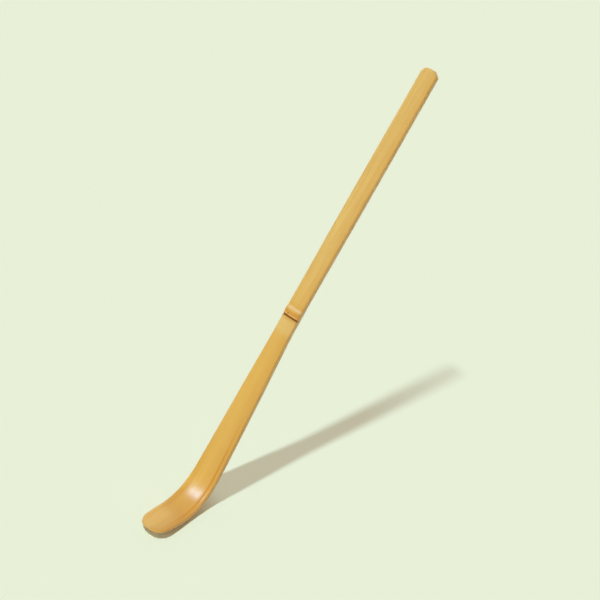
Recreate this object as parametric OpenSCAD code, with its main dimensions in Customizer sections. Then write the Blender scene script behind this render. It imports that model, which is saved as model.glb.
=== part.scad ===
// Chashaku, a tea scoop whittled and heat-bent from one split strip of bamboo.
// It lies on its back as on a table: +X runs from the butt to the tip, +Z is the skin side,
// z = 0 is the table under the butt and the bend, and x = 0 is halfway along.
// Sizes along the strip are measured on the skin side, from the butt.

/* [Lengths along the strip] */
// Butt end to the sheath scar of the node
handle_l = 97.5; // [75:0.5:125]
// Sheath scar to the start of the bend
shank_l = 62; // [45:0.5:85]
// Blade beyond the bend, to the tip
blade_l = 14; // [9:0.5:24]

/* [Bends] */
// Angle that the steamed bend turns through
bend_a = 74.5; // [35:0.5:80]
// Radius of the bend on the skin side
bend_r = 17.5; // [12:0.5:26]
// Angle by which the strip drops at the node
node_a = 4.8; // [2:0.1:8]
// Angle by which the shank curves up again before the bend
shank_a = 0.9; // [0:0.1:3]
// Angle by which the blade eases back beyond the bend
blade_a = 3.5; // [0:0.5:10]

/* [Widths] */
// Width at the butt
butt_w = 6.2; // [4.8:0.05:7]
// Width halfway along the handle
grip_w = 6.35; // [4.8:0.05:7.5]
// Width at the node
node_w = 6.1; // [4.6:0.05:7.5]
// Width halfway along the shank
shank_w = 7.8; // [5.5:0.05:9]
// Width where the bend starts
bend_w = 9.55; // [7.5:0.05:11]
// Width where the blade starts, the widest place
blade_w = 10.7; // [9:0.05:13]
// Width where the tip's corners start
tip_w = 10; // [8.5:0.05:12]

/* [Thicknesses] */
// Thickness at the butt
butt_t = 2.9; // [2.2:0.05:3.6]
// Thickness of the handle where it meets the node
grip_t = 3.1; // [2.2:0.05:3.6]
// Height of the septum's trace behind the node
septum_h = 0.45; // [0:0.05:0.6]
// Length of that trace
septum_l = 12; // [8:0.5:16]
// Thickness halfway along the shank
shank_t = 2.9; // [2:0.05:3.4]
// Thickness where the bend starts
bend_t = 2.45; // [1.6:0.05:3]
// Thickness where the blade starts
blade_t = 1.7; // [1.1:0.05:2.2]
// Thickness at the tip
tip_t = 1.05; // [0.8:0.05:1.6]

/* [Dish and edges] */
// Depth of the dish hollowed along the bend and the blade
dish_d = 0.5; // [0:0.05:0.6]
// Length before the bend over which the dish comes in
dish_run = 26; // [12:1:36]
// Width of the rolled rim on each side of the dish
rim_w = 1.6; // [1:0.05:2.2]
// Length over which the rims widen, up to the middle of the bend
rim_run = 14; // [8:1:30]
// How far the rim rolls down towards its edge
rim_drop = 0.25; // [0.1:0.05:0.4]
// Width of the bevel along the handle's front edges
edge_w = 0.5; // [0.3:0.05:0.8]
// How far that bevel drops
edge_drop = 0.25; // [0.1:0.05:0.5]
// Crown of the skin side across the handle
crown_h = 0.12; // [0:0.02:0.3]
// Radius that softens every edge
soft_r = 0.15; // [0.05:0.01:0.25]
// Width of the bevel along the back edges
back_w = 0.9; // [0.4:0.05:1.4]
// Share of the thickness that this bevel takes
back_share = 0.15; // [0.1:0.05:0.4]

/* [Node] */
// Height of the swollen ridge above the skin
ridge_h = 0.48; // [0.1:0.02:0.7]
// Length of the ridge's rise, on the handle side
ridge_rise = 1.7; // [1:0.1:3]
// Length of its fall, towards the scar
ridge_fall = 1.6; // [1:0.1:3]
// Height of the lip along the scar
lip_h = 0.16; // [0:0.02:0.3]
// Length of the lip
lip_l = 0.5; // [0.4:0.05:1.2]
// Width of the scar's groove
scar_w = 0.6; // [0.3:0.05:1]
// Depth of the scar's groove
scar_d = 0.3; // [0.1:0.02:0.5]
// How far the groove notches each side
scar_notch = 0.1; // [0:0.02:0.25]

/* [Butt] */
// Width of the rounded corner, on the -Y side
round_w = 1.8; // [1:0.1:2.2]
// Length of the rounded corner
round_l = 2.5; // [2.2:0.1:3.5]
// Width of the knife cut across the front, on the +Y side
cut_w = 2.1; // [1:0.1:2.6]
// Length that the cut takes from the front edge
cut_l = 1.2; // [0.4:0.1:2]
// Length that it takes from the back edge
cut_back_l = 1.6; // [0.4:0.1:2.4]

/* [Tip] */
// Length of the tip's rounded corners
tip_round_l = 6.3; // [3:0.1:7]
// Width of each rounded corner
tip_round_w = 4.6; // [2:0.1:4.6]

/* [Hidden] */

// Places along the strip
scar_s = handle_l;
ridge_s = scar_s - scar_w / 2 - lip_l - ridge_fall - ridge_rise;
bend_s = scar_s + shank_l;
bend_l = bend_r * bend_a * PI / 180;
blade_s = bend_s + bend_l;
end_s = blade_s + blade_l;
tip_s = end_s - tip_round_l;
kink_l = 4;        // length over which the strip turns at the node
end_soft_l = 0.5;  // length over which the tip thins to its softened end
end_thin = 0.55;   // share of the thickness left at that end
end_flat = 0.3;    // least half width left between the tip's corners
end_dish = 0.35;   // how far the dish has come in at that end, from 0 to 1, before its easing
ridge_foot = 0.15; // share of the ridge's height left where the lip starts
past = 1;          // how far a cut runs past what it cuts
across = [0.3, 0.58, 0.82, 1]; // where a section has its points, from the middle to a crest

// Curves between values
function clamp01(u) = max(0, min(1, u));
function ease(u) = let (c = clamp01(u)) c * c * (3 - 2 * c);
function mix(a, b, u) = a + (b - a) * u;
function secant(k, i) = (k[i + 1][1] - k[i][1]) / (k[i + 1][0] - k[i][0]);
// Slope at knot i that never overshoots its neighbours
function slope(k, i) =
    i == 0 ? secant(k, 0)
    : i == len(k) - 1 ? secant(k, i - 1)
    : let (a = secant(k, i - 1), b = secant(k, i))
      a * b <= 0 ? 0 : 2 * a * b / (a + b);
function piece(k, s, i = 0) = i >= len(k) - 2 || s < k[i + 1][0] ? i : piece(k, s, i + 1);
// Smooth curve through knots of [place, value]
function through(k, s) =
    let (i = piece(k, s), w = k[i + 1][0] - k[i][0], u = clamp01((s - k[i][0]) / w),
         p = k[i][1], q = k[i + 1][1], m = slope(k, i) * w, n = slope(k, i + 1) * w)
    p + u * (m + u * (3 * (q - p) - 2 * m - n + u * (m + n - 2 * (q - p))));

width_knots = [
    [0, butt_w], [scar_s / 2, grip_w], [scar_s, node_w], [scar_s + shank_l / 2, shank_w],
    [bend_s, bend_w], [blade_s, blade_w], [end_s, tip_w],
];
thickness_knots = [
    [scar_s, grip_t], [scar_s + shank_l / 2, shank_t],
    [bend_s, bend_t], [blade_s, blade_t], [end_s, tip_t],
];
// Thickness of the strip: the handle's back is planed to one flat, up to the septum's trace
function thickness(s) =
    (s < scar_s ? mix(butt_t, grip_t, s / scar_s) : through(thickness_knots, s))
    + septum_h * ease(1 - abs(s - scar_s) / (septum_l / 2));

// Direction of the strip, in degrees above the handle's own line
function heading(s) =
    let (u = clamp01((s - bend_s) / bend_l))
    -node_a * ease((s - scar_s) / kink_l + 0.5)
    + shank_a * clamp01((s - scar_s) / shank_l)
    + bend_a * (u + ease(u)) / 2
    - blade_a * clamp01((s - blade_s) / blade_l);

// Half width of the outline, with the tip's corners and the scar's notch
function half_width(s) =
    let (c = clamp01((s - tip_s) / tip_round_l), g = clamp01(1 - abs(s - scar_s) / (scar_w / 2)),
         corner = min(tip_round_w, tip_w / 2 - end_flat))
    through(width_knots, s) / 2 - corner * (1 - sqrt(1 - c * c)) - scar_notch * ease(g);

// Height of the node's ridge, lip and groove above the skin
function node_relief(s) =
    let (lip_s = scar_s - scar_w / 2 - lip_l, fall_s = lip_s - ridge_fall,
         rise = ease((s - ridge_s) / ridge_rise), fall = ease((s - fall_s) / ridge_fall),
         lip = ease((s - lip_s) / (lip_l / 2)), groove = clamp01(1 - abs(s - scar_s) / (scar_w / 2)))
    s < lip_s ? ridge_h * rise * mix(1, ridge_foot, fall)
    : s < scar_s - scar_w / 2 ? mix(ridge_foot * ridge_h, lip_h, lip)
    : s < scar_s ? mix(lip_h, 0, ease((s - scar_s) / (scar_w / 2) + 1)) - scar_d * ease(groove)
    : -scar_d * ease(groove);

// How far the dish and its rolled rims have come in, from 0 on the handle to 1 on the blade
function dish_in(s) = ease((s - bend_s + dish_run) / dish_run);
function rim_in(s) = ease((s - bend_s - bend_l / 2 + rim_run) / rim_run);

// One cross section as [y, height above the skin line], from the front's middle over +Y,
// round the back and up the -Y side
function section(s) =
    let (h = half_width(s), e = end_s - s, d = dish_in(s), g = rim_in(s),
         thin = mix(end_thin, 1, ease(e / end_soft_l)),
         t = thickness(s) * thin,
         rim = min(mix(edge_w, rim_w, g), 0.45 * h),
         drop = min(mix(edge_drop, rim_drop, g), 0.4 * t),
         roll = rim_drop * pow(1 - clamp01(e / rim_w), 2),
         crest = h - rim,
         hollow = mix(-crown_h, dish_d * ease(e / tip_round_l + end_dish), d),
         top = node_relief(s) - roll,
         soft = min(soft_r, 0.2 * t),
         foot = min(back_w, 0.5 * h), lift = back_share * (t - drop),
         right = concat(
             [for (u = across) [u * crest, top - hollow * (1 - u * u)]],
             [
                 [crest + 0.55 * (rim - soft), top - 0.4 * drop],
                 [h - soft, top - drop],
                 [h, top - drop - soft],
                 [h, lift - t],
                 [h - foot, -t],
             ]))
    concat([[0, top - hollow]], right,
           [for (i = [len(right) - 1:-1:0]) [-right[i][0], right[i][1]]]);

// Places of the sections, closest where the form changes fastest
function span(a, b, n) = [for (i = [0:n - 1]) mix(a, b, i / n)];
septum_s = scar_s - septum_l / 2;
node_end_s = scar_s + kink_l;
dish_s = bend_s - dish_run;
places = concat(
    span(0, septum_s, 10), span(septum_s, ridge_s, 3), span(ridge_s, scar_s - scar_w / 2, 20),
    span(scar_s - scar_w / 2, scar_s + scar_w / 2, 6), span(scar_s + scar_w / 2, node_end_s, 5),
    span(node_end_s, dish_s, 6), span(dish_s, bend_s, 10), span(bend_s, blade_s, 26),
    span(blade_s, tip_s, 8), [for (i = [0:12]) tip_s + tip_round_l * sin(90 * i / 12)]);

// The skin line in the plane of the bend, section by section
skin = [for (i = 0, p = [0, 0]; i < len(places);
             p = i + 1 < len(places)
                 ? let (a = heading((places[i] + places[i + 1]) / 2))
                   p + (places[i + 1] - places[i]) * [cos(a), sin(a)]
                 : p,
             i = i + 1) p];

// A section's point, with the handle's skin line along X
function placed(i, q) =
    let (a = heading(places[i]))
    [skin[i][0] - q[1] * sin(a), q[0], skin[i][1] + q[1] * cos(a)];
rings = [for (i = [0:len(places) - 1]) [for (q = section(places[i])) placed(i, q)]];
loft = [for (r = rings) each r];

// The strip lies on its butt and on the lowest place of its bend
under = [for (i = [0:len(places) - 1]) placed(i, [0, -thickness(places[i])])];
rest_a = min([for (i = [0:len(places) - 1]) if (places[i] > bend_s)
              atan2(under[i][2] - under[0][2], under[i][0] - under[0][0])]);
lying = [for (p = loft) [p[0] * cos(rest_a) + p[2] * sin(rest_a), p[2] * cos(rest_a) - p[0] * sin(rest_a)]];
low_z = min([for (p = lying) p[1]]);
mid_x = (min([for (p = lying) p[0]]) + max([for (p = lying) p[0]])) / 2;

around = len(rings[0]);
last = len(rings) - 1;
hoops = [for (j = [0:last - 1], i = [0:around - 1])
         let (a = j * around + i, b = j * around + (i + 1) % around)
         each [[a, b, b + around], [a, b + around, a + around]]];
ends = [[for (i = [around - 1:-1:0]) i], [for (i = [0:around - 1]) last * around + i]];

// The whole strip, before its butt is cut
module bent_strip() {
    polyhedron(points = loft, faces = concat(hoops, ends), convexity = 6);
}

// What the knife takes off the butt's rounded corner, an arc that leaves the side smoothly
module round_cut() {
    r = (pow(round_w, 2) + pow(round_l, 2)) / (2 * round_w);
    side = -butt_w / 2;
    translate([0, 0, -butt_t - past])
        linear_extrude(butt_t + 2 * past)
            difference() {
                translate([-past, side - past]) square([round_l + past, r + past]);
                translate([round_l, side + r]) circle(r, $fn = 96);
            }
}

// What the slanting cut takes off the other corner, more from the back than from the front
module slant_cut() {
    face = cross([cut_l, cut_w, 0], [cut_back_l - cut_l, 0, -butt_t]);
    block = butt_w + butt_t;
    translate([0, butt_w / 2 - cut_w, 0])
        rotate(a = acos(face[2] / norm(face)), v = [-face[1], face[0], 0])
            translate([-block, -block, 0]) cube([2 * block, 2 * block, block]);
}

module bamboo_scoop() {
    color("#dfb160")
        translate([-mid_x, 0, -low_z])
            rotate([0, rest_a, 0])
                difference() {
                    bent_strip();
                    round_cut();
                    slant_cut();
                }
}

bamboo_scoop();
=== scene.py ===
"""A chashaku, the bamboo scoop for powdered tea, and the stage that it is shown on.

The scoop is one strip split from a bamboo culm. It is carved here as a straight strip, as its maker
whittles it, and only then bent at the node and at the blade, so that the fibres follow the bends.
In the straight strip, the first coordinate runs from the butt to the tip along the skin line, the
second across the strip, and the third out of the skin. Lengths are in metres.
"""

from bisect import bisect_right
from math import atan2, ceil, cos, hypot, pi, radians, sin

import bmesh
import bpy
from bpy.props import FloatProperty, FloatVectorProperty, PointerProperty
from mathutils import Matrix, Vector


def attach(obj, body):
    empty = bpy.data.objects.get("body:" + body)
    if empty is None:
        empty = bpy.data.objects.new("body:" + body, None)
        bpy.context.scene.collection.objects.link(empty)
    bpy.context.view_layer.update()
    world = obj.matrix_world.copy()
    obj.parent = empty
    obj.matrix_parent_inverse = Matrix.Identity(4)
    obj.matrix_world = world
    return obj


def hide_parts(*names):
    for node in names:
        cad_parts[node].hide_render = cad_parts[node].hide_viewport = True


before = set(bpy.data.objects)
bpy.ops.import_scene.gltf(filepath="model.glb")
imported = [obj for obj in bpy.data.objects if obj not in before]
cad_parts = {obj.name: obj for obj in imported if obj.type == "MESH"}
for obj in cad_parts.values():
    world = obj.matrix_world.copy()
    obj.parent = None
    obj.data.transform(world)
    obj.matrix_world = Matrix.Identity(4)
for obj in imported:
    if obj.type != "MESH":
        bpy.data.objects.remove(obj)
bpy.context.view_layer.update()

bl_info = {
    "name": "Tea scoop",
    "version": (1, 0, 0),
    "blender": (4, 5, 0),
    "location": "View3D > Sidebar > Tea scoop",
    "description": "Carves and bends a bamboo tea scoop and sets its stage",
    "category": "Mesh",
}

MM = 0.001
NODE = "bamboo_scoop"
SCOOP = "carved_scoop"
BODY = "root"


# ---------------------------------------------------------------- settings


def length(name, millimetres, description):
    return FloatProperty(name=name, description=description, default=millimetres * MM, min=0,
                         unit="LENGTH", subtype="DISTANCE", precision=5)


def angle(name, degrees, description):
    return FloatProperty(name=name, description=description, default=radians(degrees),
                         unit="ROTATION", subtype="ANGLE")


def share(name, default, description):
    return FloatProperty(name=name, description=description, default=default, min=0, max=1,
                         subtype="FACTOR")


def linear(channel):
    """One channel of a colour as written, 0 to 255, as the light that it stands for (sRGB)."""
    c = channel / 255
    return c / 12.92 if c <= 0.04045 else ((c + 0.055) / 1.055) ** 2.4


def colour(name, written, description):
    return FloatVectorProperty(name=name, description=description, size=4, subtype="COLOR",
                               min=0, max=1, default=(*(linear(c) for c in written), 1))


def place(name, millimetres, description):
    return FloatVectorProperty(name=name, description=description, size=3, unit="LENGTH",
                               subtype="XYZ", precision=5, default=[v * MM for v in millimetres])


def direction(name, default, description):
    return FloatVectorProperty(name=name, description=description, size=3, subtype="DIRECTION",
                               default=default)


class TEASCOOP_PG_sizes(bpy.types.PropertyGroup):
    """Sizes of the strip, as its construction has them, with the finer ones of its finish"""

    handle_l: length("Handle length", 97.5, "Butt end to the sheath scar of the node")
    shank_l: length("Shank length", 62, "Sheath scar to the start of the bend")
    blade_l: length("Blade length", 14, "Blade beyond the bend, to the tip")
    bend_a: angle("Bend", 74.5, "Angle that the steamed bend turns through")
    bend_r: length("Bend radius", 17.5, "Radius of the bend on the skin side")
    node_a: angle("Drop at the node", 4.8, "Angle by which the strip drops at the node")
    shank_a: angle("Rise of the shank", 0.9,
                   "Angle by which the shank curves up again before the bend")
    blade_a: angle("Ease of the blade", 3.5, "Angle by which the blade eases back beyond the bend")
    kink_l: length("Kink length", 4, "Length over which the strip turns at the node")

    butt_w: length("Butt width", 6.2, "Width at the butt")
    grip_w: length("Grip width", 6.35, "Width halfway along the handle")
    node_w: length("Node width", 6.1, "Width at the node")
    shank_w: length("Shank width", 7.8, "Width halfway along the shank")
    bend_w: length("Bend width", 9.55, "Width where the bend starts")
    blade_w: length("Blade width", 10.7, "Width where the blade starts, the widest place")
    tip_w: length("Tip width", 10, "Width at the tip, before its corners are rounded")

    butt_t: length("Butt thickness", 2.9, "Thickness at the butt")
    grip_t: length("Grip thickness", 3.1, "Thickness of the handle where it meets the node")
    shank_t: length("Shank thickness", 2.9, "Thickness halfway along the shank")
    bend_t: length("Bend thickness", 2.45, "Thickness where the bend starts")
    blade_t: length("Blade thickness", 1.7, "Thickness where the blade starts")
    tip_t: length("Tip thickness", 1.05, "Thickness at the tip")
    end_thin: share("Thinned end", 0.75, "Share of the thickness left at the tip's very end")
    end_soft_l: length("Thinned length", 0.5, "Length over which the tip thins to its end")
    septum_h: length("Septum height", 0.45, "Height of the septum's trace behind the node")
    septum_l: length("Septum length", 12, "Length of that trace")

    dish_d: length("Dish depth", 0.5, "Depth of the dish hollowed along the bend and the blade")
    dish_run: length("Dish run", 26, "Length before the bend over which the dish comes in")
    end_dish: share("Dish at the tip", 0.35,
                    "How far the dish has come in at the tip's end, before its easing")
    rim_w: length("Rim width", 1.6, "Width of the rolled rim on each side of the dish")
    rim_crest: share("Rim crest", 0.55,
                     "Where the rim stands highest, as a share of its width from the edge")
    rim_run: length("Rim run", 14, "Length over which the rims widen, up to the middle of the bend")
    rim_drop: length("Rim drop", 0.25, "How far the rim rolls down towards its edge")
    edge_w: length("Edge bevel", 0.5, "Width of the bevel along the handle's front edges")
    edge_drop: length("Edge drop", 0.25, "How far that bevel drops")
    crown_h: length("Crown", 0.12, "Crown of the skin side across the handle")
    soft_r: length("Softening", 0.1, "How far each edge is rubbed round")
    back_w: length("Back bevel", 0.9, "Width of the bevel along the back edges")
    back_share: share("Back bevel height", 0.15, "Share of the thickness that this bevel takes")

    ridge_h: length("Ridge height", 0.48, "Height of the swollen ridge above the skin")
    ridge_rise: length("Ridge rise", 1.7, "Length of the ridge's rise, on the handle side")
    ridge_fall: length("Ridge fall", 1.6, "Length of its fall, towards the scar")
    ridge_foot: share("Ridge foot", 0.15, "Share of the ridge's height left where the lip starts")
    lip_h: length("Lip height", 0.16, "Height of the lip along the scar")
    lip_l: length("Lip length", 0.5, "Length of the lip")
    scar_w: length("Scar width", 0.6, "Width of the scar's groove")
    scar_d: length("Scar depth", 0.3, "Depth of the scar's groove")
    scar_notch: length("Scar notch", 0.1, "How far the groove notches each side")
    wander: length("Wander", 0.09, "How far the node's lines stray from straight across the strip")

    round_w: length("Rounded corner width", 1.8,
                    "Width of the butt's rounded corner, on the -Y side")
    round_l: length("Rounded corner length", 2.5, "Length of that corner")
    cut_w: length("Cut width", 2.1,
                  "Width of the knife cut across the butt's other corner, on the +Y side")
    cut_l: length("Cut length", 1.2, "Length that the cut takes from the front edge")
    cut_back_l: length("Cut length behind", 1.6, "Length that it takes from the back edge")
    tip_round_l: length("Tip corner length", 6.3, "Length of the tip's rounded corners")
    tip_round_w: length("Tip corner width", 4.6, "Width of each rounded corner")


class TEASCOOP_PG_looks(bpy.types.PropertyGroup):
    """Colours and finish of the bamboo"""

    skin_pale: colour("Skin, pale", (221, 183, 105), "Palest streaks of the polished skin")
    skin_deep: colour("Skin, deep", (211, 164, 82), "Deepest streaks of the polished skin")
    skin_fibre: colour("Skin fibre", (194, 143, 66), "Thin fibres that show through the skin")
    skin_warm: colour("Skin, warm", (220, 167, 66),
                      "Skin of the shank, which ripens deeper than the handle's")
    skin_blade: colour("Skin of the blade", (227, 180, 100), "Skin of the blade beyond the bend")
    # Partly heat-darkened skin, partly painted shade on the bend, which the lamps light more than
    # the rest
    scorch: colour("Scorch", (200, 143, 60), "Skin that the heat of bending has deepened")
    # Painted shade along the +Y edge and round the tip's end; the same colour darkens a narrow band
    # just beyond the scar
    edge: colour("Edge", (201, 143, 58), "Skin rubbed thin along the edges")
    # Painted shade along the crease where the dish meets its +Y rim
    crease: colour("Crease", (200, 136, 46), "Line where the dish meets its rim")
    # Painted highlight: the pale band on the rise of the node's ridge
    foot: colour("Foot of the ridge", (210, 174, 118),
                 "Pale band where the ridge of the node starts")
    ridge: colour("Ridge", (211, 151, 74), "Swollen ridge of the node")
    after_scar: colour("Beside the scar", (221, 183, 109), "Paler skin that the sheath covered")
    scar: colour("Scar", (108, 50, 14), "Groove that the sheath left")
    speck: place("Speck", (96.6, -1.33, 0),
                 "Place of a dark speck on the ridge, in the straight strip")
    flesh: colour("Flesh", (214, 172, 100), "Cut wood next to the skin")
    pith: colour("Pith side", (232, 205, 148), "Paler wood of the back")
    bundle: colour("Bundles", (158, 108, 48), "Brown bundles of fibres in the cut wood")
    skin_rough: share("Skin roughness", 0.33, "Roughness of the polished skin")
    flesh_rough: share("Flesh roughness", 0.52, "Roughness of the planed wood")


class TEASCOOP_PG_stage(bpy.types.PropertyGroup):
    """Floor, light and camera. The scoop leans over a floor that is tilted to the frame"""

    backdrop: colour("Backdrop", (232, 240, 216), "Colour of the floor and of what lies beyond it")
    floor_up: direction("Floor's up", (-0.9038, 0.1205, 0.4107),
                        "Direction that points up from the floor")
    floor_gap: length("Gap to the floor", 0.1, "Gap between the blade's lowest place and the floor")
    floor_size: length("Floor size", 6000, "Length of each side of the floor")
    to_key: direction("To the key lamp", (-0.6011, -0.1087, 0.7917),
                      "Direction in which the key lamp stands")
    key_spread: angle("Key spread", 2, "Angle that the key lamp fills as the scoop sees it")
    fill: FloatVectorProperty(
        name="Fill", description="Even light from all round. The key lamp makes up the rest",
        size=3, subtype="COLOR", min=0, max=1, default=(0.44, 0.31, 0.24))
    to_glint: direction("To the glint lamp", (-0.57, -0.385, 0.728),
                        "Direction of the lamp for the gloss alone")
    glint_spread: angle("Glint spread", 22, "Angle that the glint lamp fills")
    glint: FloatProperty(name="Glint", description="Strength of the glint lamp", default=3.1, min=0)
    glint_tone: colour("Glint tone", (176, 218, 255), "Colour of the glint lamp")
    near_fade: share("Near fade", 0.37,
                     "How far the backdrop lifts the shadow once clear of the blade")
    near_from: length("Near fade from", 10, "Distance from the blade where the lifting starts")
    near_to: length("Near fade to", 26, "Distance from the blade where it is at that level")
    far_fade: share("Far fade", 0.38, "How much further it lifts the shadow of the butt")
    far_from: length("Far fade from", 107, "Distance from the blade where the lifting goes on")
    far_to: length("Far fade to", 180, "Distance from the blade where it ends")
    camera_at: place("Camera", (-165.92, 279.29, 806.5), "Where the camera stands")
    camera_aim: place("Camera aim", (-0.17, -0.4, 4.05), "Point that the camera looks at")
    camera_up: direction("Camera's up", (-0.85651, -0.51552, 0.00279),
                         "Direction that is up in the picture")
    lens: FloatProperty(name="Lens", description="Focal length on a sensor 36 mm wide",
                        default=151.28, unit="CAMERA", min=1)


# ---------------------------------------------------------------- shape of the strip


def clamp(u, low=0.0, high=1.0):
    return max(low, min(high, u))


def ease(u):
    """From 0 to 1 as u does, with a level start and end."""
    c = clamp(u)
    return c * c * (3 - 2 * c)


def mix(a, b, u):
    return a + (b - a) * u


def through(knots, s):
    """Smooth curve through knots of (place, value) that never overshoots them."""
    secants = [(q[1] - p[1]) / (q[0] - p[0]) for p, q in zip(knots, knots[1:])]

    def slope(i):
        if i in (0, len(knots) - 1):
            return secants[min(i, len(secants) - 1)]
        a, b = secants[i - 1 : i + 1]
        return 0 if a * b <= 0 else 2 * a * b / (a + b)

    i = int(clamp(bisect_right([k[0] for k in knots], s) - 1, 0, len(knots) - 2))
    (s0, p), (s1, q) = knots[i : i + 2]
    width = s1 - s0
    u, m, n = clamp((s - s0) / width), slope(i) * width, slope(i + 1) * width
    return p + u * (m + u * (3 * (q - p) - 2 * m - n + u * (m + n - 2 * (q - p))))


class Strip:
    """The scoop's form while it is still straight, and the line that it is bent along."""

    SPINE_STEP = 0.1 * MM
    # The widest rim and the widest back bevel, as shares of the half width
    RIM_LIMIT, BEVEL_LIMIT = 0.45, 0.5
    # The deepest drop of an edge, as a share of the thickness
    DROP_LIMIT = 0.4
    # How suddenly the rim rolls down, and how flat the dish is in its middle
    ROLL_POWER, DISH_POWER = 1.5, 3
    # Stray of the node's lines: radians for each millimetre across, where they start, and reach
    STRAY_TURN, STRAY_START, STRAY_REACH = 1.3, 0.6, 6 * MM

    def __init__(self, z):
        self.z = z
        self.scar = z.handle_l
        self.lip = self.scar - z.scar_w / 2 - z.lip_l
        self.fall = self.lip - z.ridge_fall
        self.ridge = self.fall - z.ridge_rise
        self.bend = self.scar + z.shank_l
        self.bend_l = z.bend_r * z.bend_a
        self.blade = self.bend + self.bend_l
        self.end = self.blade + z.blade_l
        self.tip = self.end - z.tip_round_l
        middle = self.scar + z.shank_l / 2
        self.widths = [
            (0, z.butt_w), (self.scar / 2, z.grip_w), (self.scar, z.node_w), (middle, z.shank_w),
            (self.bend, z.bend_w), (self.blade, z.blade_w), (self.end, z.tip_w),
        ]
        self.thicknesses = [
            (self.scar, z.grip_t), (middle, z.shank_t), (self.bend, z.bend_t),
            (self.blade, z.blade_t), (self.end, z.tip_t),
        ]
        self.spine = self.walk()

    def heading(self, s):
        """Angle of the strip above the handle's own line."""
        z, u = self.z, clamp((s - self.bend) / self.bend_l)
        return (-z.node_a * ease((s - self.scar) / z.kink_l + 0.5)
                + z.shank_a * clamp((s - self.scar) / z.shank_l)
                + z.bend_a * (u + ease(u)) / 2
                - z.blade_a * clamp((s - self.blade) / z.blade_l))

    def walk(self):
        """Points of the skin line, one for each step along the strip."""
        points = [(0.0, 0.0)]
        for i in range(ceil(self.end / self.SPINE_STEP)):
            a = self.heading((i + 0.5) * self.SPINE_STEP)
            x, h = points[-1]
            points.append((x + self.SPINE_STEP * cos(a), h + self.SPINE_STEP * sin(a)))
        return points

    def bent(self, co):
        """Where a point of the straight strip lies once it is bent."""
        at = max(0.0, co.x / self.SPINE_STEP)
        i = min(int(at), len(self.spine) - 2)
        (x0, h0), (x1, h1) = self.spine[i : i + 2]
        a = self.heading(co.x)
        x = mix(x0, x1, at - i) - co.z * sin(a)
        h = mix(h0, h1, at - i) + co.z * cos(a)
        return Vector((x, co.y, h))

    def half_width(self, s):
        notch = ease(1 - abs(s - self.scar) / (self.z.scar_w / 2))
        return through(self.widths, s) / 2 - self.z.scar_notch * notch

    def thickness(self, s):
        z = self.z
        if s < self.scar:
            base = mix(z.butt_t, z.grip_t, s / self.scar)
        else:
            base = through(self.thicknesses, s)
        septum = z.septum_h * ease(1 - abs(s - self.scar) / (z.septum_l / 2))
        return (base + septum) * mix(z.end_thin, 1, ease((self.end - s) / z.end_soft_l))

    def edge_gap(self, s, y):
        """Distance from a place on the strip to its outline, round the tip's corners too."""
        z, half, side = self.z, self.half_width(s), abs(y)
        corner = half - z.tip_round_w
        if s <= self.tip:
            return max(0.0, half - side)
        if side <= corner:
            return max(0.0, self.end - s)
        along, across = (s - self.tip) / z.tip_round_l, (side - corner) / z.tip_round_w
        reach = hypot(along, across)
        steep = hypot(along / z.tip_round_l, across / z.tip_round_w)
        return max(0.0, (1 - reach) * reach / steep)

    def relief(self, s, y):
        """Height of the node's ridge, lip and groove above the skin."""
        z = self.z
        stray = z.wander * sin(self.STRAY_TURN * y / MM + self.STRAY_START)
        s = s - stray * ease(1 - abs(s - self.scar) / self.STRAY_REACH)
        half_scar = z.scar_w / 2
        groove = -z.scar_d * ease(1 - abs(s - self.scar) / half_scar)
        if s < self.lip:
            fall = ease((s - self.fall) / z.ridge_fall)
            return z.ridge_h * ease((s - self.ridge) / z.ridge_rise) * mix(1, z.ridge_foot, fall)
        if s < self.scar - half_scar:
            return mix(z.ridge_foot * z.ridge_h, z.lip_h, ease((s - self.lip) / (z.lip_l / 2)))
        if s < self.scar:
            return mix(z.lip_h, 0, ease((s - self.scar) / half_scar + 1)) + groove
        return groove

    def dish_in(self, s):
        """How far the dish has come in, from 0 to 1."""
        return ease((s - self.bend + self.z.dish_run) / self.z.dish_run)

    def rim_in(self, s):
        """How far the handle's bevels have widened into rims, from 0 to 1."""
        return ease((s - self.bend - self.bend_l / 2 + self.z.rim_run) / self.z.rim_run)

    def rim(self, s):
        """Width of the rim, or of the handle's front bevel that it grows from."""
        wide = mix(self.z.edge_w, self.z.rim_w, self.rim_in(s))
        return min(wide, self.RIM_LIMIT * self.half_width(s))

    def drop(self, s):
        deep = mix(self.z.edge_drop, self.z.rim_drop, self.rim_in(s))
        return min(deep, self.DROP_LIMIT * self.thickness(s))

    def bevel(self, s):
        """Width of the back's bevel."""
        return min(self.z.back_w, self.BEVEL_LIMIT * self.half_width(s))

    def front(self, s, y):
        """Height of the skin side: crowned on the handle, dished between its rims on the blade."""
        z, outer = self.z, self.rim(s) * self.z.rim_crest
        crest = self.half_width(s) - outer
        dish = z.dish_d * ease((self.end - s) / z.tip_round_l + z.end_dish)
        hollow = mix(-z.crown_h, dish, self.dish_in(s))
        across = min(1.0, abs(y) / crest)
        roll = self.drop(s) * clamp(1 - self.edge_gap(s, y) / outer) ** self.ROLL_POWER
        return self.relief(s, y) - hollow * (1 - across**self.DISH_POWER) - roll

    def back(self, s, y):
        """Height of the planed back, with the bevel along its edges."""
        t = self.thickness(s)
        lift = self.z.back_share * (t - self.drop(s))
        return -t + lift * clamp(1 - self.edge_gap(s, y) / self.bevel(s))


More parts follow.
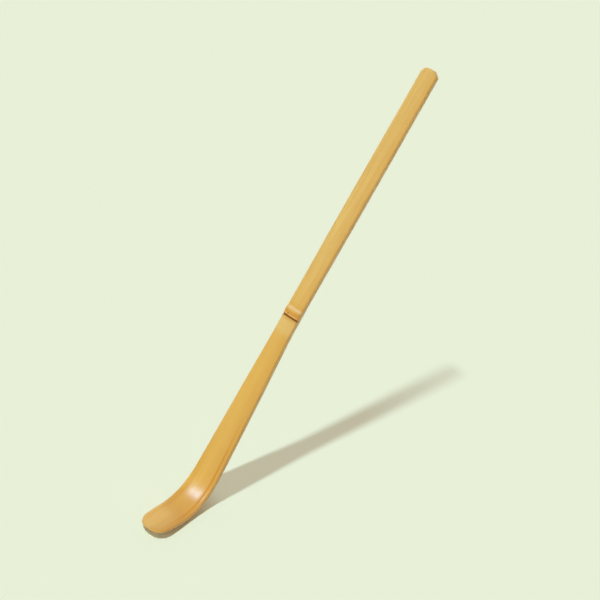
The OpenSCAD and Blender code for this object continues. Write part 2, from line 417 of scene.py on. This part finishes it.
class Rows:
    """How the carving's mesh lies on the strip: in rows along it, and in columns across it."""

    # Columns of the dish and of each rim, and layers from the front to the back
    DISH, RIM, WALL = 38, 5, 3
    # Where the columns of a rim stand, from 0 at its inner side to 1 at the edge
    RIM_SPREAD = (0, 0.15, 0.3, 0.45, 0.65, 1)
    # Columns of the butt's rounded corner, flat and cut, and of the tip's corner, flat and corner
    BUTT_CELLS = (18, 10, 20)
    TIP_CELLS = (20, 8, 20)
    # Rows that lead from each end's outline to the straight rows, and the length that they take
    BUTT_ROWS, TIP_ROWS = 22, 24
    BUTT_L, TIP_L = 5 * MM, 2 * MM
    # How far the fine rows go on past the node's scar
    NODE_L = 7.5 * MM

    def __init__(self, strip):
        self.strip = strip
        dish = strip.bend - strip.z.dish_run
        stretches = (  # where each one ends, and the length of its cells
            (strip.ridge - MM, 2 * MM), (strip.scar + MM, 0.1 * MM),
            (strip.scar + self.NODE_L, 0.5 * MM), (dish, 1.5 * MM),
            (strip.bend, MM), (strip.tip - self.TIP_L, 0.45 * MM),
        )
        self.straight = [self.BUTT_L]
        for stop, cell in stretches:
            start = self.straight[-1]
            n = ceil((stop - start) / cell)
            self.straight += [mix(start, stop, (i + 1) / n) for i in range(n)]
        self.count = self.BUTT_ROWS + len(self.straight) - 1 + self.TIP_ROWS
        self.columns = self.DISH + 2 * self.RIM

    def across(self, j, rim, half):
        """Place of column j across a straight row with rims of that width."""
        inner = half - rim
        if self.RIM <= j <= self.columns - self.RIM:
            return inner * (2 * (j - self.RIM) / self.DISH - 1)
        k = self.RIM - j if j < self.RIM else j - (self.columns - self.RIM)
        y = inner + rim * self.RIM_SPREAD[k]
        return -y if j < self.RIM else y

    def straight_row(self, s, j, depth):
        half = self.strip.half_width(s)
        front = self.across(j, self.strip.rim(s), half)
        back = self.across(j, self.strip.bevel(s), half)
        return Vector((s, mix(front, back, depth)))

    def butt_end(self, j, depth):
        """The butt's own outline: a rounded corner, a flat and a slanting cut, deeper behind."""
        z, (arc, flat, cut) = self.strip.z, self.BUTT_CELLS
        half = z.butt_w / 2
        r = (z.round_w ** 2 + z.round_l ** 2) / (2 * z.round_w)
        if j <= arc:
            whole = atan2(z.round_l, r - z.round_w)
            turn = whole - whole * (1 - j / arc)
            return Vector((z.round_l - r * sin(turn), -half + r - r * cos(turn)))
        if j <= arc + flat:
            return Vector((0, mix(z.round_w - half, half - z.cut_w, (j - arc) / flat)))
        u = (j - arc - flat) / cut
        return Vector((mix(z.cut_l, z.cut_back_l, depth) * u, half - z.cut_w * (1 - u)))

    def tip_end(self, j):
        """The tip's own outline: two rounded corners with a flat between them."""
        strip, (corner, flat, _) = self.strip, self.TIP_CELLS
        z, side = strip.z, 1 if j > self.columns / 2 else -1
        k = min(j, self.columns - j)
        if k >= corner:
            u = 2 * (j - corner) / flat - 1
            return Vector((strip.end, (z.tip_w / 2 - z.tip_round_w) * u))
        turn = pi / 2 * k / corner
        s = strip.tip + z.tip_round_l * sin(turn)
        return Vector((s, side * (strip.half_width(s) - z.tip_round_w * (1 - cos(turn)))))

    def plan(self, i, j, depth):
        """Place along and across the strip of row i and column j. Depth is 0 in front, 1 behind."""
        if i < self.BUTT_ROWS:
            first = self.straight_row(self.straight[0], j, depth)
            return self.butt_end(j, depth).lerp(first, i / self.BUTT_ROWS)
        k = i - self.BUTT_ROWS
        if k < len(self.straight):
            return self.straight_row(self.straight[k], j, depth)
        last = self.straight_row(self.straight[-1], j, depth)
        return last.lerp(self.tip_end(j), (i - (self.count - self.TIP_ROWS)) / self.TIP_ROWS)


# The block that is carved runs from 0 to 1 along the strip, and from -0.5 to 0.5 both other ways.
BLOCK_FACES = ((0, 0), (0, 1), (1, -0.5), (1, 0.5), (2, -0.5), (2, 0.5))
BUTT_CORNER = [(0, 0), (1, 0.5)]
TOUCHING = 1e-6


def cut_cells(bm, axis, cells):
    """Splits every edge that runs along an axis into that many equal parts."""
    along = [e for e in bm.edges
             if abs((e.verts[0].co - e.verts[1].co)[axis]) > TOUCHING]
    bmesh.ops.subdivide_edges(bm, edges=along, cuts=cells - 1, use_grid_fill=True)


def carve(bm, strip, rows):
    """Turns the block into the straight strip, with its outline, its front and its back."""
    for v in bm.verts:
        i = round(v.co.x * rows.count)
        j = round((v.co.y + 0.5) * rows.columns)
        depth = 0.5 - v.co.z
        s, y = rows.plan(i, j, depth)
        v.co = Vector((s, y, mix(strip.front(s, y), strip.back(s, y), depth)))


def border(bm):
    """Edges round the front and the back of the block, and down the butt's sharp corner."""
    picked = []
    for e in bm.edges:
        on = [(axis, side) for axis, side in BLOCK_FACES
              if all(abs(v.co[axis] - side) < TOUCHING for v in e.verts)]
        round_face = len(on) == 2 and any(axis == 2 for axis, _ in on)
        if round_face or on == BUTT_CORNER:
            picked.append(e)
    return picked


def lay_down(bm, strip):
    """Turns the bent strip about its butt so that it lies on its back, and centres it there."""
    def sole(s):
        return strip.bent(Vector((s, 0, -strip.thickness(s))))

    heel = sole(0)
    toes = [sole(i * MM) for i in range(int(strip.end / MM)) if i * MM > strip.bend]
    rest = min(atan2(p.z - heel.z, p.x - heel.x) for p in toes)
    bmesh.ops.rotate(bm, verts=bm.verts, matrix=Matrix.Rotation(rest, 3, "Y"))
    xs, zs = [v.co.x for v in bm.verts], [v.co.z for v in bm.verts]
    bmesh.ops.translate(bm, verts=bm.verts, vec=(-(min(xs) + max(xs)) / 2, 0, -min(zs)))


SKIN, FLESH = 0, 1
SKIN_FACES_UP = 0.3  # least height of a skin face's normal in the straight strip
SHARP = radians(32)  # from this angle on an edge is shaded sharp


def scoop_mesh(sizes):
    """The whole scoop as one closed mesh. It keeps each point's place on the straight strip."""
    strip = Strip(sizes)
    rows = Rows(strip)
    bm = bmesh.new()
    bmesh.ops.create_cube(bm, size=1)
    bmesh.ops.translate(bm, verts=bm.verts, vec=(0.5, 0, 0))
    for axis, cells in enumerate((rows.count, rows.columns, rows.WALL)):
        cut_cells(bm, axis, cells)
    edges = border(bm)
    carve(bm, strip, rows)
    bmesh.ops.bevel(bm, geom=edges, offset=sizes.soft_r, offset_type="OFFSET", segments=3,
                    profile=0.5, affect="EDGES", material=-1, clamp_overlap=False)
    bmesh.ops.recalc_face_normals(bm, faces=bm.faces)
    on_strip = bm.verts.layers.float_vector.new("strip")
    edge_gap = bm.verts.layers.float.new("edge_gap")
    for f in bm.faces:
        in_front = f.calc_center_median().z > -2 * sizes.rim_drop
        f.smooth = True
        f.material_index = SKIN if f.normal.z > SKIN_FACES_UP and in_front else FLESH
    for v in bm.verts:
        v[on_strip] = v.co
        v[edge_gap] = strip.edge_gap(v.co.x, v.co.y)
    for e in bm.edges:
        e.smooth = e.calc_face_angle(0) < SHARP
    for v in bm.verts:
        v.co = strip.bent(v.co)
    lay_down(bm, strip)
    mesh = bpy.data.meshes.new(NODE + "_carved")
    bm.to_mesh(mesh)
    bm.free()
    return mesh, strip


# ---------------------------------------------------------------- materials


class Nodes:
    """Adds nodes to a tree. An input is a value or another node's output."""

    # The colour sockets of a Mix node, which share their names with its other sockets
    MIX_AMOUNT, MIX_A, MIX_B, MIX_RESULT = 0, 6, 7, 2

    def __init__(self, tree):
        self.tree = tree

    def add(self, kind, inputs=(), **settings):
        node = self.tree.nodes.new(kind)
        for key, value in settings.items():
            setattr(node, key, value)
        self.feed(node, dict(inputs))
        return node

    def feed(self, node, inputs):
        for key, value in inputs.items():
            if isinstance(value, bpy.types.NodeSocket):
                self.tree.links.new(value, node.inputs[key])
            else:
                node.inputs[key].default_value = value

    def math(self, operation, a, b=0.0, clamped=False):
        node = self.add("ShaderNodeMath", {0: a, 1: b}, operation=operation, use_clamp=clamped)
        return node.outputs[0]

    def vectors(self, operation, *inputs):
        return self.add("ShaderNodeVectorMath", enumerate(inputs), operation=operation)

    def times(self, a, *others):
        """Product of values, such as masks that all have to cover a place."""
        for b in others:
            a = self.math("MULTIPLY", a, b)
        return a

    def spread(self, value, low, high, to_low=0.0, to_high=1.0, smooth=False):
        """A value from low to high, spread over the range from to_low to to_high."""
        ends = {"From Min": low, "From Max": high, "To Min": to_low, "To Max": to_high}
        kind = "SMOOTHSTEP" if smooth else "LINEAR"
        node = self.add("ShaderNodeMapRange", {"Value": value, **ends}, interpolation_type=kind)
        return node.outputs[0]

    def tint(self, base, over, amount):
        """Lays one colour over another."""
        inputs = {self.MIX_AMOUNT: amount, self.MIX_A: base, self.MIX_B: over}
        return self.add("ShaderNodeMix", inputs, data_type="RGBA").outputs[self.MIX_RESULT]

    def bump(self, height, strength, distance):
        inputs = {"Height": height, "Strength": strength, "Distance": distance}
        return self.add("ShaderNodeBump", inputs).outputs[0]

    def parts(self, vector):
        return self.add("ShaderNodeSeparateXYZ", {0: vector}).outputs

    def vector(self, x=0.0, y=0.0, z=0.0):
        return self.add("ShaderNodeCombineXYZ", {0: x, 1: y, 2: z}).outputs[0]


def blank(owner):
    """Empties the node tree of a material or of the world, to build it anew."""
    owner.use_nodes = True
    owner.node_tree.nodes.clear()
    return Nodes(owner.node_tree)


def group(name, output, inputs, build):
    """A node group with one output, a value. An input without a default is a vector."""
    tree = bpy.data.node_groups.new(name, "ShaderNodeTree")
    for label, default in inputs.items():
        kind = "NodeSocketVector" if default is None else "NodeSocketFloat"
        socket = tree.interface.new_socket(label, in_out="INPUT", socket_type=kind)
        if default is not None:
            socket.default_value = default
    tree.interface.new_socket(output, in_out="OUTPUT", socket_type="NodeSocketFloat")
    n = Nodes(tree)
    n.add("NodeGroupOutput", {output: build(n, n.add("NodeGroupInput").outputs)})
    return tree


def fibre_group():
    """Long streaks that follow the fibres of the strip."""
    noise_low, noise_high = 0.32, 0.68

    def build(n, source):
        x, y, z = n.parts(source["Strip"])
        gauge = source["Gauge"]
        at = n.vector(n.math("DIVIDE", x, source["Run"]), n.math("DIVIDE", y, gauge),
                      n.math("ADD", n.math("DIVIDE", z, gauge), source["Seed"]))
        noise = n.add("ShaderNodeTexNoise",
                      {"Vector": at, "Scale": 1.0, "Detail": 3.0, "Roughness": 0.6})
        return n.spread(noise.outputs["Fac"], noise_low, noise_high)

    inputs = {"Strip": None, "Run": 30 * MM, "Gauge": 0.6 * MM, "Seed": 0.0}
    return group("fibre streaks", "Streak", inputs, build)


def bundle_group():
    """Bundles of fibres: lines along a cut side, dots across a cut end, thicker near the skin."""
    deep = -2.2 * MM                  # where the bundles are thinnest
    thin, thick = 0.24, 0.42          # radius of a bundle in its cell
    inside, outside = 0.75, 1.15      # share of that radius over which its rim fades
    flatness = 1.25                   # depth of a cell for its width

    def build(n, source):
        x, y, z = n.parts(source["Strip"])
        gauge = source["Gauge"]
        at = n.vector(n.math("DIVIDE", x, source["Run"]), n.math("DIVIDE", y, gauge),
                      n.math("DIVIDE", z, n.times(gauge, flatness)))
        cells = n.add("ShaderNodeTexVoronoi", {"Vector": at, "Scale": 1.0, "Randomness": 0.85})
        radius = n.spread(n.spread(z, deep, 0.0), 0.0, 1.0, thin, thick)
        gone = n.math("DIVIDE", cells.outputs["Distance"], radius)
        return n.spread(gone, inside, outside, 1.0, 0.0, smooth=True)

    inputs = {"Strip": None, "Run": 20 * MM, "Gauge": 0.4 * MM}
    return group("fibre bundles", "Bundle", inputs, build)


def band_group():
    """A soft-edged band across the strip, at a place along it."""
    def build(n, source):
        x, y, _ = n.parts(source["Strip"])
        stray = n.add("ShaderNodeTexNoise", {"Vector": n.vector(source["Middle"], y),
                                             "Scale": 700.0, "Detail": 2.0})
        wander = n.times(n.math("SUBTRACT", stray.outputs["Fac"], 0.5), source["Wander"])
        off = n.math("ABSOLUTE", n.math("SUBTRACT", n.math("ADD", x, wander), source["Middle"]))
        rest = n.math("SUBTRACT", off, source["Half width"])
        inside = n.math("SUBTRACT", 1.0, n.math("DIVIDE", rest, source["Softness"]), clamped=True)
        return n.spread(inside, 0.0, 1.0, smooth=True)

    inputs = {"Strip": None, "Middle": 0.0, "Half width": MM, "Softness": MM, "Wander": 0.0}
    return group("band across", "Mask", inputs, build)


class Bamboo:
    """The two finishes of the strip: its polished skin and its cut wood."""

    # Streaks: their length and width, and which of them are drawn
    SKIN_BROAD = {"Run": 45 * MM, "Gauge": 1.6 * MM, "Seed": 3.0}
    SKIN_FINE = {"Run": 12 * MM, "Gauge": 0.22 * MM, "Seed": 11.0}
    WOOD_BROAD = {"Run": 30 * MM, "Gauge": 0.8 * MM, "Seed": 5.0}
    WOOD_FINE = {"Run": 9 * MM, "Gauge": 0.18 * MM, "Seed": 17.0}
    WOOD_BUNDLES = {"Run": 24 * MM, "Gauge": 0.42 * MM}

    # The most that each tint covers of what lies under it
    DEEP_STREAKS, FIBRES, WARMTH, HEAT, RUBBED = 0.75, 0.4, 0.6, 0.55, 0.35
    CREASE, SCAR, SPECK = 0.9, 0.8, 0.8
    WOOD_PITH, WOOD_STREAKS, WOOD_BUNDLED, WOOD_FIBRES, WOOD_HEAT = 0.75, 0.25, 0.45, 0.3, 0.45
    # The same, first on the -Y side and then on the +Y side
    BLADE_PALE, RIPE, BLADE_RIPE = (0.75, 0.1), (0.0, 0.5), (0.0, 0.25)
    # Factors that change towards the tip: what they start from and what they come to
    CREASE_FADES, RUBBED_GROWS = (1.0, 0.2), (0.0, 1.6)
    # From this streak on, the fine ones show as fibres
    FIBRES_FROM, WOOD_FIBRES_FROM = 0.4, 0.6
    # Shares of the bend's length: where its heated skin with painted shade and its matt skin lie,
    # and half the heated
    HEAT_AT, MATT_AT, HEAT_HALF, WOOD_HEAT_HALF = 0.7, 0.35, 0.12, 0.35
    # Half the scar's dark line, as a share of the groove
    SCAR_HALF = 0.38

    POLISHED_GLOSS, MATT_GLOSS = 0.5, 0.1
    ROUGH_STREAKS, ROUGH_SCAR, SMOOTH_BUNDLES = 0.03, 0.35, 0.1
    SKIN_BUMP = (0.3, 0.006 * MM)  # strength and height
    WOOD_BUMP = (0.5, 0.03 * MM)
    BUNDLE_BUMP = 0.6  # height of a bundle beside a fine fibre's

    def __init__(self, looks, strip):
        self.looks, self.strip = looks, strip
        self.fibres, self.bundles, self.band = fibre_group(), bundle_group(), band_group()

    def start(self, name):
        """An empty material with its shader, and the strip's own coordinates for its patterns."""
        material = bpy.data.materials.new(name)
        n = blank(material)
        shader = n.add("ShaderNodeBsdfPrincipled")
        n.add("ShaderNodeOutputMaterial", {0: shader.outputs[0]})
        at = n.add("ShaderNodeAttribute", attribute_name="strip").outputs["Vector"]
        return material, n, shader, at

    def pattern(self, n, tree, at, values):
        """Adds one of the pattern groups and returns its only output."""
        return n.add("ShaderNodeGroup", {"Strip": at, **values}, node_tree=tree).outputs[0]

    def belt(self, n, at, middle, half, soft, wander=0.0):
        """Mask of a stretch of the strip, right across it."""
        values = {"Middle": middle, "Half width": half, "Softness": soft, "Wander": wander}
        return self.pattern(n, self.band, at, values)

    def skin(self):
        looks, strip = self.looks, self.strip
        material, n, shader, at = self.start("bamboo_skin")
        x, y, _ = n.parts(at)
        gap = n.add("ShaderNodeAttribute", attribute_name="edge_gap").outputs["Fac"]
        broad = self.pattern(n, self.fibres, at, self.SKIN_BROAD)
        fine = self.pattern(n, self.fibres, at, self.SKIN_FINE)
        crease = self.crease(n, x, y, gap)
        scar = self.belt(n, at, strip.scar, strip.z.scar_w * self.SCAR_HALF, 0.25 * MM, 0.2 * MM)

        base = n.tint(looks.skin_pale, looks.skin_deep, n.times(broad, self.DEEP_STREAKS))
        fibres = n.spread(fine, self.FIBRES_FROM, 1.0, 0.0, self.FIBRES)
        base = n.tint(base, looks.skin_fibre, fibres)
        base = self.ripened(n, at, x, y, base)
        # Painted shade along the +Y edge and round the tip's end
        base = n.tint(base, looks.edge, self.rubbed(n, x, y, gap))
        # Painted shade along the crease where the dish meets its +Y rim
        base = n.tint(base, looks.crease, crease)
        base = self.node_bands(n, at, y, base)
        base = n.tint(base, looks.scar, n.times(scar, self.SCAR))

        rough = n.spread(fine, 0.0, 1.0, looks.skin_rough - self.ROUGH_STREAKS,
                         looks.skin_rough + self.ROUGH_STREAKS)
        matt = self.matt(n, at, y, crease)
        n.feed(shader, {
            "Base Color": base,
            "Roughness": n.math("ADD", rough, n.times(scar, self.ROUGH_SCAR)),
            "Specular IOR Level": n.spread(matt, 0.0, 1.0, self.POLISHED_GLOSS, self.MATT_GLOSS),
            "Normal": n.bump(fine, *self.SKIN_BUMP),
        })
        return material

    def ripened(self, n, at, x, y, base):
        """Warmer on the shank, paler on the blade, deeper to +Y; heat-darkened skin and painted
        shade on the bend.
        """
        looks, strip = self.looks, self.strip
        shank = n.spread(x, strip.scar - 25 * MM, strip.scar + 20 * MM, 0.0, self.WARMTH,
                         smooth=True)
        before_blade = n.spread(x, strip.bend, strip.blade + 4 * MM, 1.0, 0.0, smooth=True)
        base = n.tint(base, looks.skin_warm, n.times(shank, before_blade))
        on_blade = n.spread(x, strip.blade - 6 * MM, strip.blade + MM, smooth=True)
        pale = n.spread(y, -3 * MM, 2 * MM, *self.BLADE_PALE)
        base = n.tint(base, looks.skin_blade, n.times(on_blade, pale))
        # Darker towards the +Y side, more so on the blade
        ripe = n.spread(y, -0.5 * MM, 3.5 * MM, *self.RIPE)
        riper = n.times(on_blade, n.spread(y, 0.0, 3.5 * MM, *self.BLADE_RIPE))
        base = n.tint(base, looks.scorch, n.math("ADD", ripe, riper))
        heated = mix(strip.bend, strip.blade, self.HEAT_AT)
        heat = self.belt(n, at, heated, strip.bend_l * self.HEAT_HALF, 7 * MM)
        # Heat-darkened skin across the bend, with painted shade where the lamps light it more
        return n.tint(base, looks.scorch, n.times(heat, self.HEAT))

    def rubbed(self, n, x, y, gap):
        """Mask of the skin painted in shade along the +Y edge and round the tip's end."""
        strip = self.strip
        side = n.spread(y, -MM, MM)
        end = n.spread(x, strip.tip, strip.end - MM, *self.RUBBED_GROWS)
        edge = n.spread(gap, 0.0, 0.9 * MM, self.RUBBED, 0.0, smooth=True)
        return n.times(edge, n.math("MAXIMUM", side, end))

    def crease(self, n, x, y, gap):
        """Mask of the line where the dish meets the rolled rim, on the +Y side, painted in shade.
        """
        strip, z = self.strip, self.strip.z
        off = n.math("ABSOLUTE", n.math("SUBTRACT", gap, z.rim_w))
        line = n.spread(off, 0.0, 0.7 * MM, self.CREASE, 0.0, smooth=True)
        side = n.spread(y, -MM, 2 * MM, smooth=True)
        comes_in = n.spread(x, strip.bend - z.dish_run, strip.bend, smooth=True)
        goes_out = n.spread(x, strip.blade - 6 * MM, strip.tip, *self.CREASE_FADES, smooth=True)
        return n.times(line, side, comes_in, goes_out)

    def matt(self, n, at, y, crease):
        """Mask of the skin that has less gloss: the ridge, the bend's -Y side and the crease."""
        strip = self.strip
        ridge = self.belt(n, at, strip.fall, 2 * MM, 2 * MM)
        bend = self.belt(n, at, mix(strip.bend, strip.blade, self.MATT_AT), 6 * MM, 8 * MM)
        side = n.spread(y, -3.8 * MM, -2.2 * MM, 1.0, 0.0, smooth=True)
        return n.math("MAXIMUM", ridge, n.math("MAXIMUM", n.times(bend, side), crease))

    def node_bands(self, n, at, y, base):
        """The node's foot with a painted highlight, its orange ridge with a speck, and the skin
        beyond the scar.
        """
        looks, strip = self.looks, self.strip
        bands = (  # colour, how much of it at -Y and at +Y, middle, half width, softness, wander
            # Painted highlight: the pale band on the rise of the ridge, stronger to +Y
            (looks.foot, (0.6, 1.0), (strip.ridge + strip.fall) / 2, 0.15 * MM, 0.5 * MM, 0.3 * MM),
            (looks.ridge, (0.8, 0.8), (strip.fall + strip.scar) / 2, 0.8 * MM, 0.4 * MM, 0.3 * MM),
            (looks.after_scar, (0.8, 0.6), strip.scar + 3.5 * MM, 1.5 * MM, 3 * MM, 1.5 * MM),
            # A darker band just beyond the scar, in the colour of the painted edge shade
            (looks.edge, (0.45, 0.45), strip.scar + 0.5 * MM, 0.2 * MM, 0.9 * MM, 0.5 * MM),
        )
        for tone, amounts, *form in bands:
            amount = n.times(self.belt(n, at, *form), n.spread(y, -2 * MM, 2 * MM, *amounts))
            base = n.tint(base, tone, amount)
        off = n.vectors("SUBTRACT", at, looks.speck).outputs[0]
        flat = n.vectors("MULTIPLY", off, (1, 1, 0)).outputs[0]
        away = n.vectors("LENGTH", flat).outputs["Value"]
        speck = n.spread(away, 0.1 * MM, 0.35 * MM, self.SPECK, 0.0, smooth=True)
        return n.tint(base, looks.scar, speck)

    def flesh(self):
        looks, strip = self.looks, self.strip
        material, n, shader, at = self.start("bamboo_flesh")
        depth = n.parts(at)[2]
        broad = self.pattern(n, self.fibres, at, self.WOOD_BROAD)
        fine = self.pattern(n, self.fibres, at, self.WOOD_FINE)
        bundles = self.pattern(n, self.bundles, at, self.WOOD_BUNDLES)
        heat = self.belt(n, at, (strip.bend + strip.blade) / 2, strip.bend_l * self.WOOD_HEAT_HALF,
                         22 * MM)
        scar = self.belt(n, at, strip.scar, 0.2 * MM, 0.3 * MM, 0.2 * MM)

        to_pith = n.spread(depth, -0.4 * MM, -2.4 * MM, 0.0, self.WOOD_PITH)
        pith = n.math("ADD", to_pith, n.times(broad, self.WOOD_STREAKS))
        base = n.tint(looks.flesh, looks.pith, pith)
        base = n.tint(base, looks.bundle, n.times(bundles, self.WOOD_BUNDLED))
        fibres = n.spread(fine, self.WOOD_FIBRES_FROM, 1.0, 0.0, self.WOOD_FIBRES)
        base = n.tint(base, looks.skin_fibre, fibres)
        base = n.tint(base, looks.scorch, n.times(heat, self.WOOD_HEAT))
        near_skin = n.spread(depth, -0.9 * MM, -0.2 * MM, 0.0, self.SCAR, smooth=True)
        base = n.tint(base, looks.scar, n.times(scar, near_skin))

        plain, on_bundle = looks.flesh_rough, looks.flesh_rough - self.SMOOTH_BUNDLES
        height = n.math("ADD", n.times(bundles, self.BUNDLE_BUMP), fine)
        n.feed(shader, {
            "Base Color": base,
            "Roughness": n.spread(bundles, 0.0, 1.0, plain, on_bundle),
            "Normal": n.bump(height, *self.WOOD_BUMP),
        })
        return material


# ---------------------------------------------------------------- operators


def add_object(context, name, data):
    made = bpy.data.objects.new(name, data)
    context.scene.collection.objects.link(made)
    return made


class TEASCOOP_OT_carve_scoop(bpy.types.Operator):
    """Carve the strip, bend it and give it its bamboo finish"""

    bl_idname = "teascoop.carve_scoop"
    bl_label = "Carve the scoop"
    bl_options = {"REGISTER", "UNDO"}

    def execute(self, context):
        mesh, strip = scoop_mesh(context.scene.teascoop_sizes)
        bamboo = Bamboo(context.scene.teascoop_looks, strip)
        mesh.materials.append(bamboo.skin())
        mesh.materials.append(bamboo.flesh())
        scoop = add_object(context, SCOOP, mesh)
        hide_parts(NODE)
        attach(scoop, BODY)
        return {"FINISHED"}


class TEASCOOP_OT_set_stage(bpy.types.Operator):
    """Set the floor, the backdrop, the lamps and the camera"""

    bl_idname = "teascoop.set_stage"
    bl_label = "Set the stage"
    bl_options = {"REGISTER", "UNDO"}

    SENSOR_W = 36
    CLIP_NEAR, CLIP_FAR = 0.01, 50

    def execute(self, context):
        stage = context.scene.teascoop_stage
        if SCOOP not in bpy.data.objects:
            raise RuntimeError("Carve the scoop first: the floor lies under it")
        self.lay_floor(context, stage)
        self.light_world(context, stage)
        self.hang_lamps(context, stage)
        self.place_camera(context, stage)
        context.scene.view_settings.view_transform = "Standard"
        return {"FINISHED"}

    def lay_floor(self, context, stage):
        """A flat floor under the lowest place of the scoop, which is on its blade."""
        up = Vector(stage.floor_up).normalized()
        lowest = min((v.co for v in bpy.data.objects[SCOOP].data.vertices), key=up.dot)
        level = up.dot(lowest) - stage.floor_gap
        bm = bmesh.new()
        bmesh.ops.create_grid(bm, x_segments=1, y_segments=1, size=stage.floor_size / 2)
        bmesh.ops.rotate(bm, verts=bm.verts, matrix=up.to_track_quat("Z", "Y").to_matrix())
        bmesh.ops.translate(bm, verts=bm.verts, vec=up * level)
        mesh = bpy.data.meshes.new("floor")
        bm.to_mesh(mesh)
        bm.free()
        mesh.materials.append(self.floor_paint(stage, lowest))
        add_object(context, "floor", mesh)

    def floor_paint(self, stage, foot):
        """Matt paint on the floor's upper side. Its under side lets everything through.

        The camera sees the shadow lifted towards the backdrop, and more so away from the foot.
        """
        material = bpy.data.materials.new("floor_paint")
        n = blank(material)
        at = n.add("ShaderNodeTexCoord").outputs["Object"]
        away = n.vectors("DISTANCE", at, foot).outputs["Value"]
        near = n.spread(away, stage.near_from, stage.near_to, 0.0, stage.near_fade, smooth=True)
        far = n.spread(away, stage.far_from, stage.far_to, 0.0, stage.far_fade)
        seen = n.add("ShaderNodeLightPath").outputs["Is Camera Ray"]
        lift = n.times(n.math("ADD", near, far), seen)
        paint = n.add("ShaderNodeBsdfDiffuse", {"Color": stage.backdrop})
        glow = n.add("ShaderNodeEmission", {"Color": stage.backdrop, "Strength": 1.0})
        lifted = n.add("ShaderNodeMixShader", {0: lift, 1: paint.outputs[0], 2: glow.outputs[0]})
        clear = n.add("ShaderNodeBsdfTransparent")
        side = n.add("ShaderNodeNewGeometry").outputs["Backfacing"]
        both = n.add("ShaderNodeMixShader", {0: side, 1: lifted.outputs[0], 2: clear.outputs[0]})
        n.add("ShaderNodeOutputMaterial", {0: both.outputs[0]})
        return material

    def light_world(self, context, stage):
        """Even light from all round, and the backdrop's colour where it is seen or reflected."""
        world = bpy.data.worlds.new("studio")
        context.scene.world = world
        n = blank(world)
        fill = n.add("ShaderNodeBackground", {"Color": (*stage.fill, 1), "Strength": 1.0})
        seen = n.add("ShaderNodeBackground", {"Color": stage.backdrop, "Strength": 1.0})
        path = n.add("ShaderNodeLightPath").outputs
        mirrored = n.math("MAXIMUM", path["Is Glossy Ray"], path["Is Transmission Ray"])
        shown = n.math("MAXIMUM", path["Is Camera Ray"], mirrored)
        both = n.add("ShaderNodeMixShader", {0: shown, 1: fill.outputs[0], 2: seen.outputs[0]})
        n.add("ShaderNodeOutputWorld", {0: both.outputs[0]})

    def hang_lamps(self, context, stage):
        """The key lamp, which brings a white floor to just white, and the lamp for the gloss."""
        key = self.hang(context, "key", stage.to_key, stage.key_spread)
        rest = Vector([1 - c for c in stage.fill])
        slant = Vector(stage.to_key).normalized().dot(Vector(stage.floor_up).normalized())
        key.data.energy = pi * max(rest) / slant
        key.data.color = rest / max(rest)
        key.visible_glossy = False
        glint = self.hang(context, "glint", stage.to_glint, stage.glint_spread)
        glint.data.energy = stage.glint
        glint.data.color = stage.glint_tone[:3]
        glint.visible_diffuse = False

    def hang(self, context, name, toward, spread):
        """A sun lamp that shines from a direction."""
        data = bpy.data.lights.new(name, "SUN")
        data.angle = spread
        lamp = add_object(context, name, data)
        lamp.location = toward
        lamp.rotation_mode = "QUATERNION"
        lamp.rotation_quaternion = Vector(toward).to_track_quat("Z", "Y")
        return lamp

    def place_camera(self, context, stage):
        data = bpy.data.cameras.new("camera")
        data.lens, data.sensor_width = stage.lens, self.SENSOR_W
        data.clip_start, data.clip_end = self.CLIP_NEAR, self.CLIP_FAR
        camera = add_object(context, "camera", data)
        back = (Vector(stage.camera_at) - Vector(stage.camera_aim)).normalized()
        right = Vector(stage.camera_up).cross(back).normalized()
        axes = Matrix((right, back.cross(right), back)).transposed()
        camera.rotation_mode = "QUATERNION"
        camera.rotation_quaternion = axes.to_quaternion()
        camera.location = stage.camera_at
        context.scene.camera = camera


class TEASCOOP_PT_panel(bpy.types.Panel):
    """Lists the scoop's sizes and colours and the steps that make it"""

    bl_idname = "TEASCOOP_PT_panel"
    bl_label = "Tea scoop"
    bl_space_type = "VIEW_3D"
    bl_region_type = "UI"
    bl_category = "Tea scoop"

    def draw(self, context):
        for operator, groups in STEPS:
            self.layout.operator(operator)
            for name in groups:
                settings = getattr(context.scene, name)
                column = self.layout.column()
                for key in settings.__annotations__:
                    column.prop(settings, key)


STEPS = (
    ("teascoop.carve_scoop", ("teascoop_sizes", "teascoop_looks")),
    ("teascoop.set_stage", ("teascoop_stage",)),
)
CLASSES = (
    TEASCOOP_PG_sizes, TEASCOOP_PG_looks, TEASCOOP_PG_stage,
    TEASCOOP_OT_carve_scoop, TEASCOOP_OT_set_stage, TEASCOOP_PT_panel,
)


def register():
    for made in CLASSES:
        bpy.utils.register_class(made)
    bpy.types.Scene.teascoop_sizes = PointerProperty(type=TEASCOOP_PG_sizes)
    bpy.types.Scene.teascoop_looks = PointerProperty(type=TEASCOOP_PG_looks)
    bpy.types.Scene.teascoop_stage = PointerProperty(type=TEASCOOP_PG_stage)


def unregister():
    del bpy.types.Scene.teascoop_stage
    del bpy.types.Scene.teascoop_looks
    del bpy.types.Scene.teascoop_sizes
    for made in reversed(CLASSES):
        bpy.utils.unregister_class(made)


def main():
    register()
    bpy.ops.teascoop.carve_scoop()
    bpy.ops.teascoop.set_stage()


if __name__ == "__main__":
    main()
